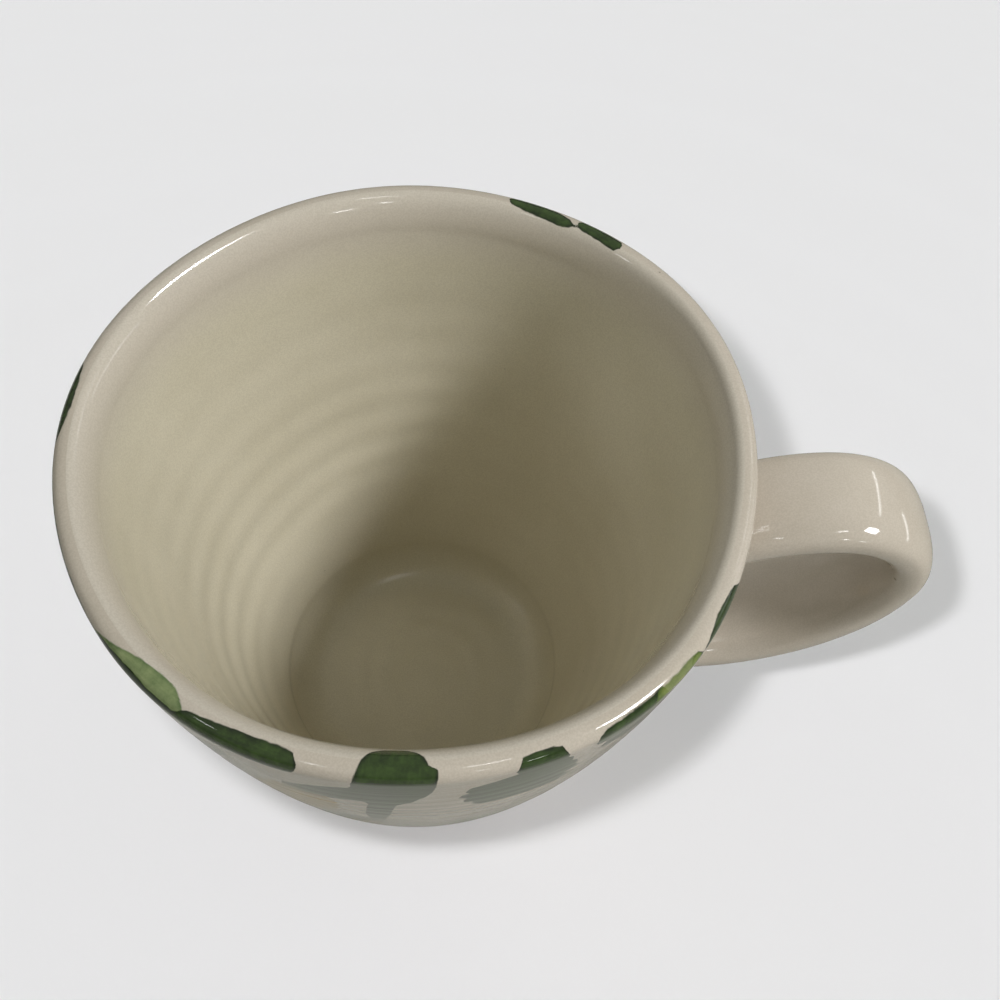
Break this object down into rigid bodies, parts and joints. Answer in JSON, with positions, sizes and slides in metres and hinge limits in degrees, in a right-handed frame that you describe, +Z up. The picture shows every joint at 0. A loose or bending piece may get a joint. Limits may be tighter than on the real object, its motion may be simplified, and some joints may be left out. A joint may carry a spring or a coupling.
{
  "type": "stoneware mug",
  "caption": "Hand-thrown glazed stoneware mug with a flared round cup, turned foot ring and a pulled strap handle.",
  "frame": {"origin": "centre of the foot ring's resting plane, on the cup's axis", "axes": "+Z up the cup's axis from the foot to the mouth, +X from the axis towards the handle, +Y by the right-hand rule"},
  "size_m": [0.1218, 0.09, 0.095],
  "materials": {
    "fired_clay": "fired stoneware, hidden under the glaze",
    "bare_foot": "bare fired stoneware, matt, sponged and rubbed smooth",
    "strap_clay": "fired stoneware, hidden under the glaze",
    "luting_slip": "fired clay and slip, hidden under the glaze",
    "liner_glaze": "glossy clear glaze over a cream body, throwing rings showing",
    "painted_glaze": "glossy clear glaze over green and ochre brushwork on cream",
    "base_glaze": "glossy clear glaze, thin, under the floor",
    "plain_glaze": "glossy clear glaze over a cream body"
  },
  "bodies": {
    "root": {"clay_cup": "fired_clay", "foot_ring": "bare_foot", "handle_strap": "strap_clay", "upper_handle_joint": "luting_slip", "lower_handle_joint": "luting_slip", "inside_glaze": "liner_glaze", "outside_glaze": "painted_glaze", "base_glaze": "base_glaze", "handle_glaze": "plain_glaze"}
  },
  "joints": []
}
